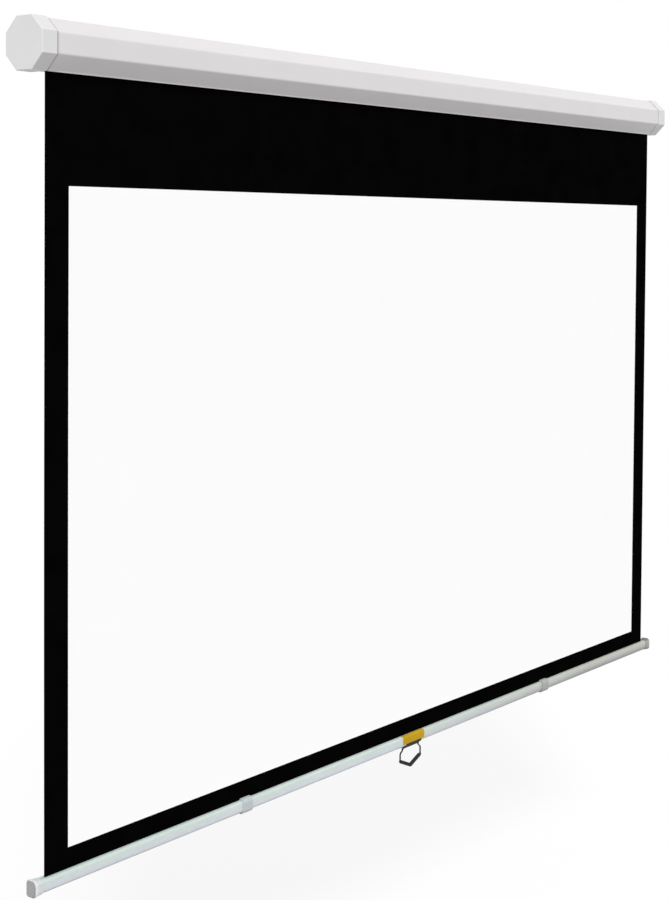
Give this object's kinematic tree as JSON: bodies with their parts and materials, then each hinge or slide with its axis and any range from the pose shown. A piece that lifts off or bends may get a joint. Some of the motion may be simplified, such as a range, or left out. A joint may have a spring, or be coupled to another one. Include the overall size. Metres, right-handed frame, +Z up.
{
  "type": "pull down projector screen",
  "caption": "Wall-hung manual projection screen: octagonal casing with a spring roller, black-bordered white fabric, and a weight bar with a pull handle.",
  "frame": {"origin": "on the wall plane, midway between the two hanger plates and level with the casing's axis", "axes": "+X along the casing to the right of someone who faces the screen, +Y into the wall, +Z up"},
  "size_m": [2.024, 0.084, 1.4078],
  "materials": {
    "case_paint": "satin white powder coat",
    "cap_plastic": "fine matt moulding",
    "steel": "drawn steel",
    "zinc": "zinc plated",
    "brass": "turned",
    "nylon": "moulded nylon",
    "view_fabric": "matt white",
    "mask_fabric": "matt black",
    "back_fabric": "matt black",
    "bar_paint": "silver grey lacquer",
    "bar_plastic": "off-white moulding",
    "collar_plastic": "grey moulding",
    "handle_plastic": "black moulding",
    "plug_plastic": "grey moulding",
    "label": "plain yellow film"
  },
  "bodies": {
    "casing": {"casing_shell": "case_paint", "left_end_cap": "cap_plastic", "right_end_cap": "cap_plastic", "left_roller_bracket": "zinc", "right_roller_bracket": "zinc", "left_hanger_plate": "zinc", "right_hanger_plate": "zinc", "left_lower_rivet": "steel", "left_upper_rivet": "steel", "right_lower_rivet": "steel", "right_upper_rivet": "steel", "spring_spindle": "steel", "ratchet_wheel": "steel", "spring_arbor": "zinc", "torsion_spring": "steel", "idler_bush": "nylon", "black_backing": "back_fabric", "masking_border": "mask_fabric", "viewing_surface": "view_fabric"},
    "roller": {"roller_tube": "zinc", "wound_fabric": "back_fabric", "idler_plug": "nylon", "gudgeon_pin": "steel", "pawl_carrier": "zinc", "spindle_bush": "brass", "drive_plug": "nylon"},
    "upper_lock": {"upper_pawl": "steel"},
    "lower_lock": {"lower_pawl": "steel"},
    "bottom_bar": {"weight_bar": "bar_paint", "hem_rod": "steel", "left_bar_cap": "bar_plastic", "right_bar_cap": "bar_plastic", "left_stop_collar": "collar_plastic", "right_stop_collar": "collar_plastic", "handle_bracket": "handle_plastic", "left_handle_pin": "steel", "right_handle_pin": "steel", "left_bar_plug": "plug_plastic", "right_bar_plug": "plug_plastic", "bar_label": "label"},
    "handle": {"pull_handle": "handle_plastic"}
  },
  "joints": [
    {"name": "bar_lift", "type": "slide", "parent": "casing", "child": "bottom_bar", "axis": [0, 0, 1], "range_m": [0, 1.25], "deforming": ["black_backing", "masking_border", "viewing_surface"]},
    {"name": "roller_spin", "type": "hinge", "parent": "casing", "child": "roller", "pos_m": [0, -0.0325, 0], "axis": [1, 0, 0], "range_deg": [-3150, 0]},
    {"name": "upper_pawl_swing", "type": "hinge", "parent": "roller", "child": "upper_lock", "pos_m": [0.9893, -0.0325, 0.0165], "axis": [1, 0, 0], "range_deg": [-13, 6]},
    {"name": "lower_pawl_swing", "type": "hinge", "parent": "roller", "child": "lower_lock", "pos_m": [0.9893, -0.0325, -0.0165], "axis": [1, 0, 0], "range_deg": [-13, 6]},
    {"name": "handle_swing", "type": "hinge", "parent": "bottom_bar", "child": "handle", "pos_m": [0, -0.05368, -1.3207], "axis": [1, 0, 0], "range_deg": [-75, 75]}
  ],
  "couplings": [
    {"joint": "roller_spin", "follows": "bar_lift", "rad_per_m": -43.982}
  ]
}
